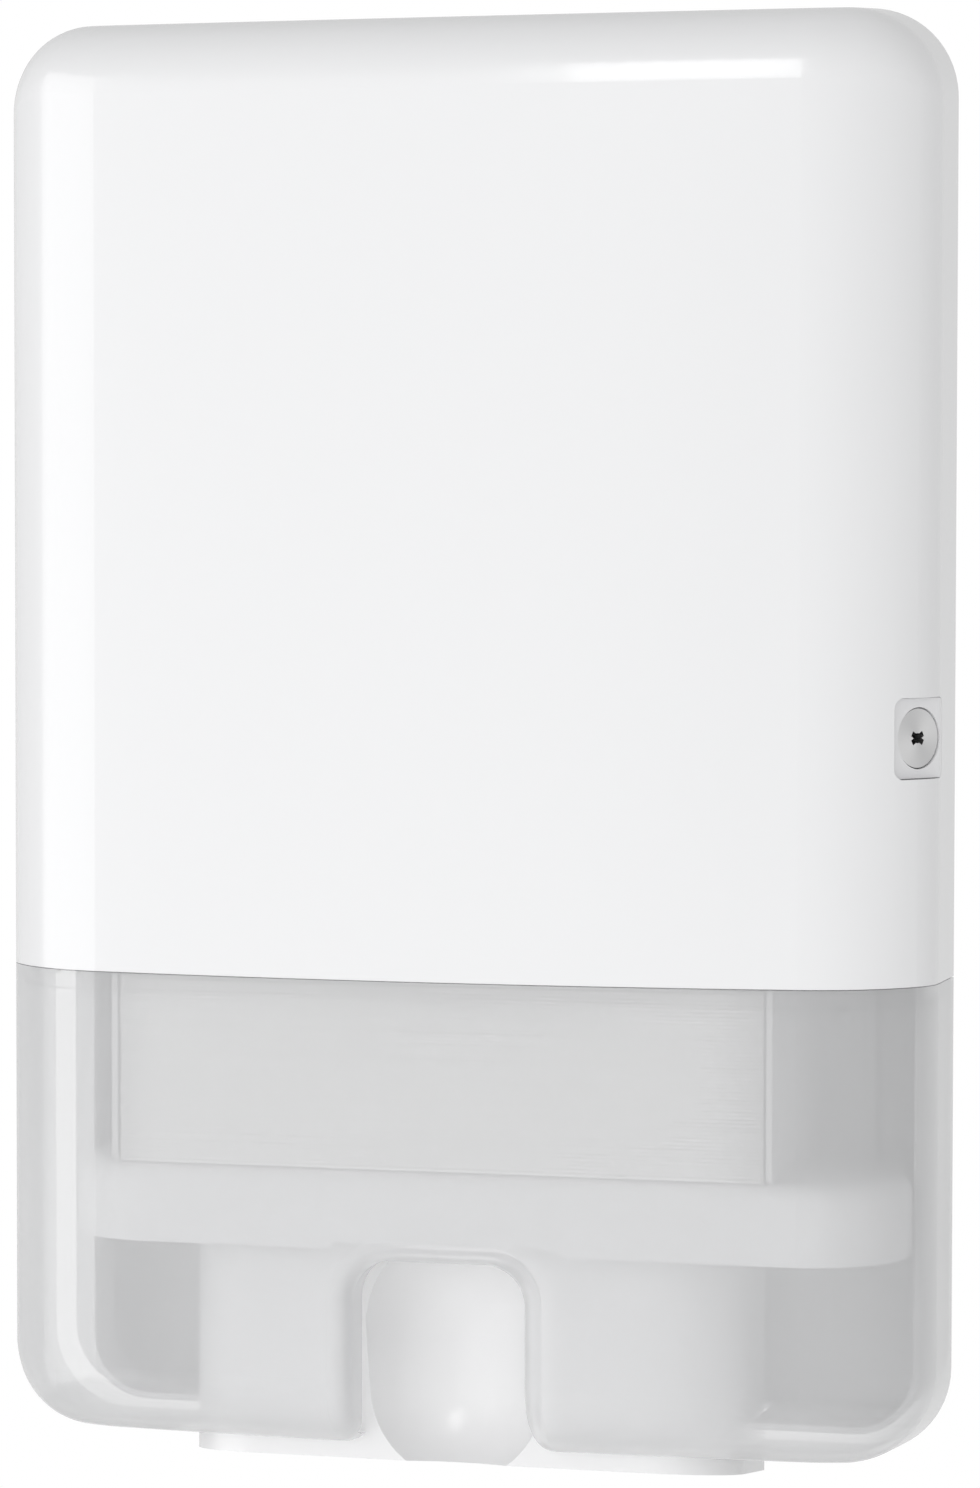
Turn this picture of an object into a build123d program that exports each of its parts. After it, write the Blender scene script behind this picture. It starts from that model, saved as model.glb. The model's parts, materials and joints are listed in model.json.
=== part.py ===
"""Wall dispenser for folded paper towels, with a side-hinged, key-locked cover.

Millimetres. X runs to the right, Y into the wall, Z up. The wall is the plane Y = 0, and the
origin is the centre of the four wall screws, at half the height of the cover.
"""
import os
from math import cos, hypot, radians, sin, sqrt

from build123d import *

# Cover: outer form
cover_width = 288.0
cover_height = 434.0
cover_depth = 64.0  # from the cover's rear edge to its front
cover_wall = 2.5
rear_gap = 38.0  # from the wall to the cover's rear edge
corner_radius = 27.0  # corners in front view
side_radius = 47.0  # upright rounding between front and side
rim_radius = 22.0  # rounding of the top, the bottom and the corners towards the front
crown_rise = 13.0  # how far the front bows out over the cover's width
side_draft = 0.002  # millimetres per millimetre of depth
top_draft = 0.085
side_overrun = 4.7  # how far the upright rounding would run past the side wall

# Cover: seam between the white shell and the clear window
seam_z = -72.0
seam_gap = 0.3
tongue_wall = 1.6
tongue_rise = 9.0
tongue_root = 6.0
tongue_fit = 0.15
snap_width = 12.0
snap_height = 2.4
snap_depth = 0.8
snap_play = 0.3
snap_x = 70.0

# Cover: finger arch in the window
arch_half_width = 26.5
arch_top_z = -156.0
arch_corner_radius = 12.0
arch_lip_radius = 6.5
arch_depth = 16.0

# Hinge of the cover, upright at the left rear
hinge_inset = 7.0  # from the cover's left side to the axis
hinge_from_rear = 7.0  # from the cover's rear edge to the axis
hinge_heights = {"upper": 160.0, "lower": -40.0}
pin_radius = 2.0
pin_head_radius = 3.2
pin_head_height = 1.4
pin_seat_play = 0.02
pin_running_play = 0.05
knuckle_radius = 4.1
knuckle_height = 6.0
eye_radius = 4.2
eye_height = 14.0
bush_radius = 3.0
bush_flange = 0.8
hinge_end_play = 0.3
leaf_thickness = 2.2
leaf_height = 40.0
leaf_length = 20.0
leaf_start = 6.5  # from the axis to the near edge of the leaf
swing_play = 1.5  # room between fixed parts and the path of the cover's right side

# Back plate: a deep base that the cover closes over
web = 2.5
base_inset = 7.5  # from the cover's outline to the base's
base_wall = 2.0
base_corner_radius = 20.0
rim_past_knuckle = 1.0  # from the hinge knuckles to the front edge of the base
hinge_clear = 0.6  # between the base's left wall and the path of the cover's rear edge
bay_play = 0.3  # between the base's rim and the tray
pan_depth = 11.0  # raised middle that carries the guides and the tray
pan_margin = 3.5
pan_corner_radius = 8.0
rib_width = 2.0
rib_positions = (-95.0, -40.0, 0.0, 40.0, 95.0)
wall_screw_span_x = 140.0
wall_screw_span_z = 240.0
wall_hole_radius = 3.0
wall_boss_radius = 8.0

# Towels and their guides
feed_x = -2.5  # middle of the towels, the guides and the nozzle
stack_width = 200.0
stack_depth = 76.0
stack_height = 300.0
stack_front_gap = 12.5  # from the cover's front face to the towels
stack_foot_z = -130.0
stack_edge_radius = 1.5
guide_wall = 1.8
guide_play = 0.3
guide_top_z = 150.0
guide_heel_radius = 34.0
guide_toe_radius = 4.0
guide_lip = 5.0
guide_lip_foot_z = -60.0
guide_foot_width = 12.0
guide_foot_low_z = -100.0

# Dispensing tray
tray_wall = 2.0
tray_front_gap = 12.5  # from the cover's front face to the tray
tray_skirt = 24.0
tray_corner_radius = 30.0
tray_roll_radius = 6.0
tray_mouth_width = 160.0
tray_mouth_depth = 52.0
tray_mouth_radius = 18.0
tray_notch_play = 6.0
tray_notch_head = 1.5

# Nozzle under the tray
nozzle_width = 172.0
nozzle_depth = 60.0
nozzle_front_gap = 26.0  # from the cover's front face to the nozzle
nozzle_front_foot_z = -219.5
nozzle_rear_foot_z = -228.0
nozzle_wall = 2.2
nozzle_front_radius = 25.0
nozzle_rear_radius = 8.0
nozzle_flange = 7.0
nozzle_flange_wall = 2.0
nozzle_swing_play = 1.5
scoop_radius = 30.0
scoop_reach = 20.0  # how deep the hollow goes into the nozzle's front
scoop_top_z = -178.0  # centre of the hollow's rounded top
scoop_length = 20.0
scoop_tilt = 10.0
slot_width = 128.0
slot_depth = 24.0
slot_rear_gap = 6.0  # from the nozzle's rear inner wall to the slot
lip_wall = 1.2
lip_width = 9.0
lip_overhang = 5.0

# Lock on the cover's right rounding
lock_z = 0.8
lock_angle = 58.0  # from straight ahead towards the right
lock_recess = 2.8
bezel_size = 23.5
bezel_wall = 2.0
bezel_play = 0.2
bezel_corner_radius = 3.0
lock_boss_margin = 1.8
lock_boss_depth = 7.0
plug_head_radius = 8.7
plug_head_height = 1.2
plug_head_sink = 0.5
plug_head_play = 0.4
plug_radius = 7.0
plug_play = 0.05
barrel_radius = 10.5
barrel_depth = 22.0
barrel_flange_radius = 11.8
barrel_flange_wall = 1.5
barrel_play = 0.1
nut_radius = 13.0
nut_height = 3.5
keyhole_radius = 1.5
keyhole_slot_length = 5.4
keyhole_slot_width = 1.7
keyhole_depth = 14.0
cam_length = 18.5
cam_width = 11.0
cam_wall = 2.0
cam_gap = 1.0
cam_screw_head_radius = 4.0
cam_screw_head_height = 2.4
cam_screw_radius = 1.6
cam_screw_length = 8.0
cam_square = 6.0
cam_square_play = 0.05

# Strike for the cam
strike_wall = 2.0
strike_height = 18.0
strike_gap = 0.5  # from the cam's outer face to the strike's lip
strike_lip_start = 12.0
strike_lip_end = 19.5
strike_foot = 20.0

# Small screws
screw_head_radius = 3.2
screw_head_height = 2.0
screw_radius = 1.45
screw_hole_play = 0.05
screw_point_gap = 0.4  # what is left of the wall under the point

# Places that follow from the sizes above
half_width = cover_width / 2
half_height = cover_height / 2
crown_radius = (half_width ** 2 + crown_rise ** 2) / (2 * crown_rise)
hinge_x = hinge_inset - half_width
hinge_y = -rear_gap - hinge_from_rear
inner_side_x = half_width - cover_wall
swing_radius = inner_side_x - side_draft * hinge_from_rear - hinge_x
front_y = -rear_gap - cover_depth
edge_path = hypot(hinge_inset, hinge_from_rear)
base_left = base_inset - half_width
base_right = half_width - base_inset
base_half_height = half_height - base_inset
rim_left = hinge_x + edge_path + hinge_clear
rim_front_y = hinge_y - knuckle_radius - rim_past_knuckle
shelf_y = hinge_y + edge_path + swing_play
bay_left = rim_left + base_wall + bay_play
bay_right = base_right - base_wall - bay_play
stack_front_y = front_y + stack_front_gap
stack_rear_y = stack_front_y + stack_depth
guide_inner_x = stack_width / 2 + guide_play
guide_outer_x = guide_inner_x + guide_wall
tray_front_y = front_y + tray_front_gap
tray_top_z = stack_foot_z
tray_foot_z = tray_top_z - tray_skirt
tray_mouth_y = (stack_front_y + stack_rear_y) / 2
nozzle_front_y = front_y + nozzle_front_gap
nozzle_rear_y = nozzle_front_y + nozzle_depth
nozzle_mid_y = (nozzle_front_y + nozzle_rear_y) / 2
nozzle_top_z = tray_top_z - tray_wall
pan_half_width = guide_outer_x + guide_foot_width + pan_margin
pan_foot_z = tray_foot_z - pan_margin
pan_head_z = guide_top_z + pan_margin
arch_back_y = front_y + arch_depth

wall_holes = [
    (x * wall_screw_span_x / 2, z * wall_screw_span_z / 2) for x in (-1, 1) for z in (-1, 1)
]


def block(x, y, z):
    """Box from its low and high value along each axis."""
    sizes = [high - low for low, high in (x, y, z)]
    centre = [(high + low) / 2 for low, high in (x, y, z)]
    return Pos(*centre) * Box(*sizes)


def upright(sketch, low, high):
    """Plan sketch raised from one height to another."""
    return Pos(0, 0, low) * extrude(sketch, high - low)


def facing(sketch, rear, front):
    """Front-view sketch carried from a rear to a front value of Y."""
    return Plane.XZ.offset(-rear) * extrude(sketch, rear - front)


def plan_rect(x, y):
    """Plan rectangle from its low and high value along X and Y."""
    centre = Pos((x[0] + x[1]) / 2, (y[0] + y[1]) / 2)
    return centre * Rectangle(x[1] - x[0], y[1] - y[0])


# Outer form of the cover

def side_arc_centre():
    """Centre of the upright rounding in plan, tangent inside the crown."""
    x = half_width + side_overrun - side_radius
    reach = crown_radius - side_radius
    return x, front_y + crown_radius - sqrt(reach ** 2 - x ** 2)


def tapered(half, draft, length):
    """Upright prism that narrows from the wall to the front."""
    near = half - draft * length
    plan = Polygon((-half, 0), (half, 0), (near, -length), (-near, -length), align=None)
    return extrude(plan, cover_height, both=True)


def turned(prism):
    """Prism turned from upright to lying across the cover."""
    return Rot(0, 90, 0) * prism


def cover_form(inset):
    """Solid form of the cover, drawn in by the inset, from the wall to the front."""
    depth = -front_y - inset
    beyond = depth + inset + 4
    across = half_width - inset + side_draft * rear_gap
    tall = half_height - inset + top_draft * rear_gap
    casting = tapered(across, side_draft, beyond) & turned(tapered(tall, top_draft, beyond))
    long_edges = [edge for edge in casting.edges() if edge.bounding_box().size.Y > beyond - 1]
    casting = fillet(long_edges, corner_radius - inset)

    reach = half_width + side_overrun - inset
    radius = crown_radius - inset
    edge_y = -depth + radius - sqrt(radius ** 2 - reach ** 2)
    crown = ThreePointArc((-reach, edge_y), (0, -depth), (reach, edge_y))
    sides = Polyline(crown @ 1, (reach, 0), (-reach, 0), crown @ 0)
    plan = make_face([crown] + sides.edges())
    front_corners = plan.vertices().group_by(Axis.Y)[0]
    plan = fillet(front_corners, side_radius - inset)
    prism = extrude(plan, half_height + 10, both=True)

    form = (casting & prism).solid()
    rim = new_edges(casting, prism, combined=form)
    rim = [edge for edge in rim if edge.center().Y < -rear_gap]
    return form.fillet(rim_radius - inset, rim)


def arch_outline(inset):
    """Front view of the finger arch, grown by the inset."""
    top = arch_top_z + inset
    foot = -half_height - 20
    outline = Pos(0, (top + foot) / 2) * Rectangle(2 * (arch_half_width + inset), top - foot)
    return fillet(outline.vertices().group_by(Axis.Y)[-1], arch_corner_radius + inset)


def arched(form, inset, back_y):
    """Form with the finger arch cut in and the arch's edge rolled over."""
    prism = facing(arch_outline(inset), back_y, front_y - 5)
    body = (form - prism).solid()
    lip = new_edges(form, prism, combined=body)
    lip = [edge for edge in lip if edge.center().Y < back_y - 0.1]
    return body.fillet(arch_lip_radius - inset, lip)


def lock_plane():
    """Plane of the lock's face: local X to the rear, local Y up, local Z out."""
    turn = radians(lock_angle)
    centre_x, centre_y = side_arc_centre()
    reach = side_radius - lock_recess
    origin = (centre_x + reach * sin(turn), centre_y - reach * cos(turn), lock_z)
    return Plane(origin=origin, x_dir=(cos(turn), sin(turn), 0), z_dir=(sin(turn), -cos(turn), 0))


lock_frame = lock_plane()


def lock_disc(radius, low, high):
    """Round piece on the lock's axis."""
    return lock_frame * Pos(0, 0, low) * extrude(Circle(radius), high - low)


def lock_pad(size, radius, low, high):
    """Square piece with rounded corners on the lock's axis."""
    return lock_frame * Pos(0, 0, low) * extrude(RectangleRounded(size, size, radius), high - low)


def snap_zone(play):
    """Where the window's snap hooks sit, at the front of the seam."""
    foot = seam_z + tongue_rise / 2
    zones = [
        block(
            (side * snap_x - snap_width / 2 - play, side * snap_x + snap_width / 2 + play),
            (front_y, front_y / 2),
            (foot - play, foot + snap_height + play),
        )
        for side in (-1, 1)
    ]
    return zones[0] + zones[1]


def nozzle_way():
    """Plan of the room that the nozzle needs in the cover's foot as the cover swings."""
    corner = hypot(feed_x + nozzle_width / 2 - hinge_x, nozzle_front_y - hinge_y)
    left = feed_x - nozzle_width / 2 - nozzle_swing_play
    right = hinge_x + corner + nozzle_swing_play
    reach = plan_rect((left, right), (nozzle_front_y - nozzle_swing_play, 0))
    return reach & (Pos(hinge_x, hinge_y) * Circle(corner + nozzle_swing_play))


outer_form = cover_form(0)
inner_form = cover_form(cover_wall)
tongue_form = cover_form(cover_wall + tongue_fit)
tongue_core = cover_form(cover_wall + tongue_fit + tongue_wall)
behind_cover = block((-cover_width, cover_width), (-rear_gap, rear_gap), (-cover_height, cover_height))
far = cover_width + cover_height


def above(z):
    """Everything above a height."""
    return block((-far, far), (-far, far), (z, z + far))


def below(z):
    """Everything below a height."""
    return block((-far, far), (-far, far), (z - far, z))


def make_cover_shell():
    """White upper cover, with pads for the hinge leaves and a boss for the lock."""
    shell = (outer_form - inner_form) & above(seam_z + seam_gap / 2)
    for z in hinge_heights.values():
        pad = block(
            (-half_width, hinge_leaf_x()[0]),
            (hinge_y - leaf_start - leaf_length - 1, hinge_y - leaf_start + 0.5),
            (z - leaf_height / 2 - 1, z + leaf_height / 2 + 1),
        )
        shell += pad & outer_form
    margin = bezel_size + 2 * lock_boss_margin
    boss = lock_pad(margin, bezel_corner_radius + lock_boss_margin, -lock_boss_depth, 0)
    shell += boss & outer_form
    pocket = bezel_size + 2 * bezel_play
    shell -= lock_pad(pocket, bezel_corner_radius + bezel_play, -bezel_wall, side_radius)
    shell -= lock_disc(barrel_flange_radius + barrel_play, -bezel_wall - barrel_flange_wall, 0)
    shell -= lock_disc(barrel_radius + barrel_play, -lock_boss_depth - 1, 0)
    for place in hinge_screw_places():
        shell -= place * screw_hole(hinge_screw_length())
    pocket_form = cover_form(cover_wall - snap_depth - snap_play)
    shell -= (pocket_form - tongue_core) & snap_zone(snap_play)
    return shell - behind_cover


def make_cover_window():
    """Clear lower cover with its finger arch and the tongue that snaps into the shell."""
    outer = arched(outer_form, 0, -rear_gap)
    inner = arched(inner_form, cover_wall, arch_back_y)
    window = (outer - inner) & below(seam_z - seam_gap / 2)
    foot = upright(nozzle_way(), -half_height - 10, -half_height + rim_radius)
    window -= foot
    band = above(seam_z - tongue_root) & below(seam_z + tongue_rise)
    tongue = (tongue_form - tongue_core) & band
    root = (cover_form(cover_wall - tongue_fit) - tongue_core) & above(seam_z - tongue_root)
    window += tongue
    window += root & below(seam_z - seam_gap / 2)
    window += (cover_form(cover_wall - snap_depth) - tongue_core) & snap_zone(0)
    return window - behind_cover


# Hinge

def hinge_leaf_x():
    """Low and high X of the hinge leaf."""
    return hinge_x - leaf_thickness / 2, hinge_x + leaf_thickness / 2


def hinge_screw_length():
    """Leaf, pad and side wall less what stays under the point."""
    pad_and_wall = hinge_leaf_x()[0] + half_width - side_draft * (hinge_from_rear + leaf_length)
    return leaf_thickness + pad_and_wall - screw_point_gap - cover_wall / 2


def hinge_screw_places():
    """Where the screws sit on the leaves, with local Z out of the head."""
    face = hinge_leaf_x()[1]
    y = hinge_y - leaf_start - leaf_length / 2 - 2
    return [
        Plane(origin=(face, y, z + side * leaf_height / 4), x_dir=(0, 1, 0), z_dir=(1, 0, 0))
        for z in hinge_heights.values()
        for side in (-1, 1)
    ]


def make_hinge_bracket(z):
    """Cover's hinge leaf with its eye."""
    low_x, high_x = hinge_leaf_x()
    leaf = block(
        (low_x, high_x),
        (hinge_y - leaf_start - leaf_length, hinge_y - leaf_start),
        (z - leaf_height / 2, z + leaf_height / 2),
    )
    leaf = fillet(leaf.edges().filter_by(Axis.X), 3)
    neck = block(
        (low_x, high_x),
        (hinge_y - leaf_start - 1, hinge_y),
        (z - eye_height / 2, z + eye_height / 2),
    )
    eye = Pos(hinge_x, hinge_y, z) * Cylinder(eye_radius, eye_height)
    bracket = leaf + neck + eye - Pos(hinge_x, hinge_y, z) * Cylinder(bush_radius, eye_height)
    for place in hinge_screw_places():
        if abs(place.origin.Z - z) < leaf_height / 2:
            bracket -= place * screw_hole(leaf_thickness)
    return bracket


def make_hinge_bushes():
    """Two flanged bushes in each eye."""
    bore = pin_radius + pin_running_play
    bushes = []
    for z in hinge_heights.values():
        for side in (-1, 1):
            sleeve = Pos(0, 0, side * eye_height / 4) * Cylinder(bush_radius, eye_height / 2 - 0.1)
            flange_z = side * (eye_height + bush_flange) / 2
            flange = Pos(0, 0, flange_z) * Cylinder(eye_radius, bush_flange)
            collar = Pos(0, 0, side * (eye_height / 2 - 0.1)) * Cylinder(bush_radius, 0.2)
            bush = sleeve + flange + collar - Cylinder(bore, 2 * eye_height)
            bushes.append(Pos(hinge_x, hinge_y, z) * bush)
    return Compound(bushes)


def knuckle_spans(z):
    """Low and high Z of the two fixed knuckles of a hinge."""
    inner = eye_height / 2 + bush_flange + hinge_end_play
    outer = inner + knuckle_height
    return (z + inner, z + outer), (z - outer, z - inner)


def make_hinge_pin(z):
    """Steel pin with a head on the upper knuckle."""
    upper, lower = knuckle_spans(z)
    length = upper[1] - lower[0]
    pin = Pos(0, 0, (upper[1] + lower[0]) / 2) * Cylinder(pin_radius, length)
    head = Pos(0, 0, upper[1] + pin_head_height / 2) * Cylinder(pin_head_radius, pin_head_height)
    return Pos(hinge_x, hinge_y) * (pin + head)


# Screws

def make_screw(length):
    """Pan-head screw with its head's seat at the local origin and its head up local Z."""
    head = Pos(0, 0, screw_head_height / 2) * Cylinder(screw_head_radius, screw_head_height)
    shank = Pos(0, 0, -length / 2) * Cylinder(screw_radius, length)
    return head + shank


def screw_hole(length):
    """Hole for a screw's shank."""
    return Pos(0, 0, -length / 2) * Cylinder(screw_radius + screw_hole_play, length)


def facing_screw(x, z, y):
    """Place of a screw that is driven towards the wall, with its head's seat at y."""
    return Plane(origin=(x, y, z), x_dir=(1, 0, 0), z_dir=(0, -1, 0))


def guide_screw_places():
    """Two screws down the foot of each guide."""
    middle = (guide_foot_low_z + guide_top_z) / 2
    reach = (guide_top_z - guide_foot_low_z) / 2 - guide_foot_width
    x = guide_outer_x + guide_foot_width / 2
    return [
        facing_screw(feed_x + side * x, middle + step * reach, -pan_depth - guide_wall)
        for side in (-1, 1)
        for step in (-1, 1)
    ]


def tray_screw_places():
    """Screw at each end of the tray's rear wall."""
    z = tray_top_z - tray_skirt / 2 - 1
    outer = tray_mouth_width / 2 + tray_corner_radius
    return [facing_screw(x, z, -pan_depth - tray_wall) for x in (-outer, outer)]


def strike_screw_places():
    """Two screws through the strike's arm into the base's right wall."""
    x = strike_arm_x()[0]
    y = rim_front_y + strike_foot * 2 / 3
    return [
        Plane(origin=(x, y, lock_z + side * strike_height / 4), x_dir=(0, 1, 0), z_dir=(-1, 0, 0))
        for side in (-1, 1)
    ]


def nozzle_screw_places():
    """Four screws driven up through the nozzle's flange into the tray."""
    x = nozzle_width / 2 + nozzle_flange / 2
    z = nozzle_top_z - nozzle_flange_wall
    return [
        Plane(
            origin=(feed_x + side * x, nozzle_mid_y + step * nozzle_depth / 4, z),
            x_dir=(1, 0, 0),
            z_dir=(0, 0, -1),
        )
        for side in (-1, 1)
        for step in (-1, 1)
    ]


plate_screw_length = web - screw_point_gap
guide_screw_length = guide_wall + plate_screw_length
tray_screw_length = tray_wall + plate_screw_length
strike_screw_length = strike_wall + base_wall - screw_point_gap
nozzle_screw_length = nozzle_flange_wall + tray_wall - screw_point_gap


# Back plate and what it carries

def base_outline(left, inset):
    """Front view of the base from its left side, drawn in by the inset."""
    shape = RectangleRounded(
        base_right - left - 2 * inset,
        2 * (base_half_height - inset),
        base_corner_radius - inset,
    )
    return Pos((base_right + left) / 2, 0) * shape


def pan_outline(inset):
    """Front view of the raised middle, drawn in by the inset."""
    shape = RectangleRounded(
        2 * (pan_half_width - inset),
        pan_head_z - pan_foot_z - 2 * inset,
        pan_corner_radius - inset,
    )
    return Pos(feed_x, (pan_head_z + pan_foot_z) / 2) * shape


def hinge_arm():
    """Plan of a fixed knuckle and the arm that joins it to the base."""
    root = rim_left + base_wall / 2
    arm = plan_rect((hinge_x, root), (hinge_y - knuckle_radius, hinge_y + knuckle_radius))
    arm += Pos(hinge_x, hinge_y) * Circle(knuckle_radius)
    return arm - Pos(hinge_x, hinge_y) * Circle(pin_radius + pin_seat_play)


def make_back_plate():
    """Deep base: stepped rim, raised middle with ribs and screw bosses, and the hinge knuckles."""
    plate = facing(base_outline(base_left, 0), 0, shelf_y)
    plate += facing(base_outline(rim_left, 0), 0, rim_front_y)
    plate -= facing(base_outline(base_left, base_wall), -web, shelf_y + base_wall)
    plate -= facing(base_outline(rim_left, base_wall), -web, rim_front_y - 1)
    plate += facing(pan_outline(0), 0, -pan_depth)
    plate -= facing(pan_outline(web), 1, -pan_depth + web)
    for x in rib_positions:
        plate += block(
            (x - rib_width / 2, x + rib_width / 2),
            (-pan_depth + web, 0),
            (pan_foot_z + web, pan_head_z - web),
        )
    for x, z in wall_holes:
        plate += facing(Pos(x, z) * Circle(wall_boss_radius), 0, -pan_depth)
    for x, z in wall_holes:
        plate -= facing(Pos(x, z) * Circle(wall_hole_radius), 1, -pan_depth - 1)
    throat = nozzle_width / 2 + nozzle_swing_play
    plate -= block(
        (feed_x - throat, feed_x + throat),
        (rim_front_y - 1, nozzle_rear_y + nozzle_swing_play),
        (-base_half_height - 1, -base_half_height + base_wall + 1),
    )
    arm = hinge_arm()
    for z in hinge_heights.values():
        for low, high in knuckle_spans(z):
            plate += upright(arm, low, high)
    for place in guide_screw_places() + tray_screw_places():
        plate -= place.offset(place.origin.Y + pan_depth) * screw_hole(plate_screw_length)
    for place in strike_screw_places():
        plate -= place.offset(-strike_wall) * screw_hole(strike_screw_length - strike_wall)
    return plate


def make_guide(side):
    """Side guide of the towels: a cheek with a rounded heel, a front lip and a screwed foot."""
    depth = -pan_depth - stack_front_y
    tall = guide_top_z - stack_foot_z
    cheek = Pos(-pan_depth - depth / 2, stack_foot_z + tall / 2) * Rectangle(depth, tall)
    heel = cheek.vertices().sort_by_distance((-pan_depth, stack_foot_z))[0]
    cheek = fillet(heel, guide_heel_radius)
    toe = cheek.vertices().sort_by_distance((stack_front_y, stack_foot_z))[0]
    cheek = fillet(toe, guide_toe_radius)
    guide = Plane.YZ.offset(guide_inner_x) * extrude(cheek, guide_wall)
    guide += block(
        (guide_inner_x - guide_lip, guide_outer_x),
        (stack_front_y - guide_wall, stack_front_y),
        (guide_lip_foot_z, guide_top_z),
    )
    guide += block(
        (guide_outer_x - guide_wall, guide_outer_x + guide_foot_width),
        (-pan_depth - guide_wall, -pan_depth),
        (guide_foot_low_z, guide_top_z),
    )
    guide = Pos(feed_x, 0) * (guide if side > 0 else mirror(guide, Plane.YZ))
    for place in guide_screw_places():
        if side * (place.origin.X - feed_x) > 0:
            guide -= place * screw_hole(guide_wall)
    return guide


def tray_plan(inset):
    """Plan of the tray, whose right end follows the path of the cover's side."""
    outline = plan_rect((bay_left + inset, bay_right - inset), (tray_front_y + inset, -pan_depth - inset))
    outline = fillet(outline.vertices().group_by(Axis.Y)[0], tray_corner_radius - inset)
    return outline & (Pos(hinge_x, hinge_y) * Circle(swing_radius - swing_play - inset))


def make_tray():
    """Deck with a rolled edge, a skirt, the towels' mouth and a notch over the finger arch."""
    tray = upright(tray_plan(0), tray_foot_z, tray_top_z)
    top = tray.faces().sort_by(Axis.Z)[-1]
    tray = fillet([e for e in top.edges() if e.center().Y < -pan_depth - 1], tray_roll_radius)
    core = upright(tray_plan(tray_wall), tray_foot_z - 1, tray_top_z - tray_wall)
    roof = core.faces().sort_by(Axis.Z)[-1]
    roof_edges = [e for e in roof.edges() if e.center().Y < -pan_depth - tray_wall - 1]
    core = fillet(roof_edges, tray_roll_radius - tray_wall)
    tray -= core
    mouth = RectangleRounded(tray_mouth_width, tray_mouth_depth, tray_mouth_radius)
    tray -= upright(Pos(feed_x, tray_mouth_y) * mouth, tray_foot_z, tray_top_z + 1)
    notch = arch_half_width + cover_wall + tray_notch_play
    tray -= block(
        (-notch, notch),
        (front_y, tray_front_y + tray_corner_radius),
        (tray_foot_z - 1, arch_top_z + cover_wall + tray_notch_head),
    )
    for place in tray_screw_places():
        tray -= place * screw_hole(tray_wall)
    for place in nozzle_screw_places():
        tray -= place.offset(-nozzle_flange_wall) * screw_hole(nozzle_screw_length - nozzle_flange_wall)
    return tray


def nozzle_plan(inset):
    """Plan of the nozzle, drawn in by the inset."""
    outline = plan_rect(
        (feed_x - nozzle_width / 2 + inset, feed_x + nozzle_width / 2 - inset),
        (nozzle_front_y + inset, nozzle_rear_y - inset),
    )
    front = outline.vertices().group_by(Axis.Y)[0]
    outline = fillet(front, nozzle_front_radius - inset)
    rear = [v for v in outline.vertices() if abs(v.Y - nozzle_rear_y + inset) < 0.01]
    return fillet(rear, nozzle_rear_radius - inset)


def under_nozzle(raised):
    """Everything under the nozzle's sloping foot, raised along Z."""
    slope = (nozzle_rear_foot_z - nozzle_front_foot_z) / nozzle_depth
    wide = 10
    front_z = nozzle_front_foot_z - slope * wide + raised
    rear_z = nozzle_rear_foot_z + slope * wide + raised
    deep = nozzle_rear_foot_z - nozzle_depth
    side = Polygon(
        (nozzle_front_y - wide, front_z),
        (nozzle_front_y - wide, deep),
        (nozzle_rear_y + wide, deep),
        (nozzle_rear_y + wide, rear_z),
        align=None,
    )
    return extrude(Plane.YZ * side, nozzle_width, both=True)


def scoop(grown):
    """Round-ended hollow for the fingers in the nozzle's front."""
    radius = scoop_radius + grown
    finger = Pos(0, 0, -scoop_length / 2) * Cylinder(radius, scoop_length)
    finger += Sphere(radius)
    finger += Pos(0, 0, -scoop_length) * Sphere(radius)
    axis_y = nozzle_front_y + scoop_reach - scoop_radius
    return Pos(0, axis_y, scoop_top_z) * Rot(-scoop_tilt, 0, 0) * finger


def foot_plane():
    """Plane on the nozzle's inner foot, with local X along the slot and local Y to the rear."""
    run = nozzle_depth
    fall = nozzle_rear_foot_z - nozzle_front_foot_z
    span = hypot(run, fall)
    middle_z = (nozzle_front_foot_z + nozzle_rear_foot_z) / 2 + nozzle_wall
    origin = (feed_x, slot_y(), middle_z + fall / run * (slot_y() - nozzle_mid_y))
    return Plane(origin=origin, x_dir=(1, 0, 0), z_dir=(0, -fall / span, run / span))


def slot_y():
    """Middle of the towel slot."""
    return nozzle_rear_y - nozzle_wall - slot_rear_gap - slot_depth / 2


def make_nozzle():
    """Throat under the tray: a sloping foot with the towel slot, and the finger scoop."""
    body = upright(nozzle_plan(0), nozzle_rear_foot_z - 1, nozzle_top_z) - under_nozzle(0)
    body = body.solid()
    bay = upright(nozzle_plan(nozzle_wall), nozzle_rear_foot_z - 1, nozzle_top_z + 1)
    bay -= under_nozzle(nozzle_wall)
    bay -= scoop(nozzle_wall)
    body -= scoop(0)
    body += upright(flange_plan(), nozzle_top_z - nozzle_flange_wall, nozzle_top_z)
    body -= bay
    slot = RectangleRounded(slot_width, slot_depth, slot_depth / 2 - 1)
    body -= foot_plane() * extrude(slot, 3 * nozzle_wall, both=True)
    for place in nozzle_screw_places():
        body -= place * screw_hole(nozzle_flange_wall)
    return body


def flange_plan():
    """Plan of the nozzle's flange, which is wider at the two ends only."""
    return plan_rect(
        (feed_x - nozzle_width / 2 - nozzle_flange, feed_x + nozzle_width / 2 + nozzle_flange),
        (nozzle_mid_y - nozzle_depth / 2 + nozzle_wall, nozzle_rear_y),
    )


def make_nozzle_lip(side):
    """Soft strip on the inner foot that reaches over the slot's front or rear edge."""
    y = side * (slot_depth / 2 - lip_overhang + lip_width / 2)
    strip = Pos(0, y, lip_wall / 2) * Box(slot_width - slot_depth, lip_width, lip_wall)
    return foot_plane() * strip


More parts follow.
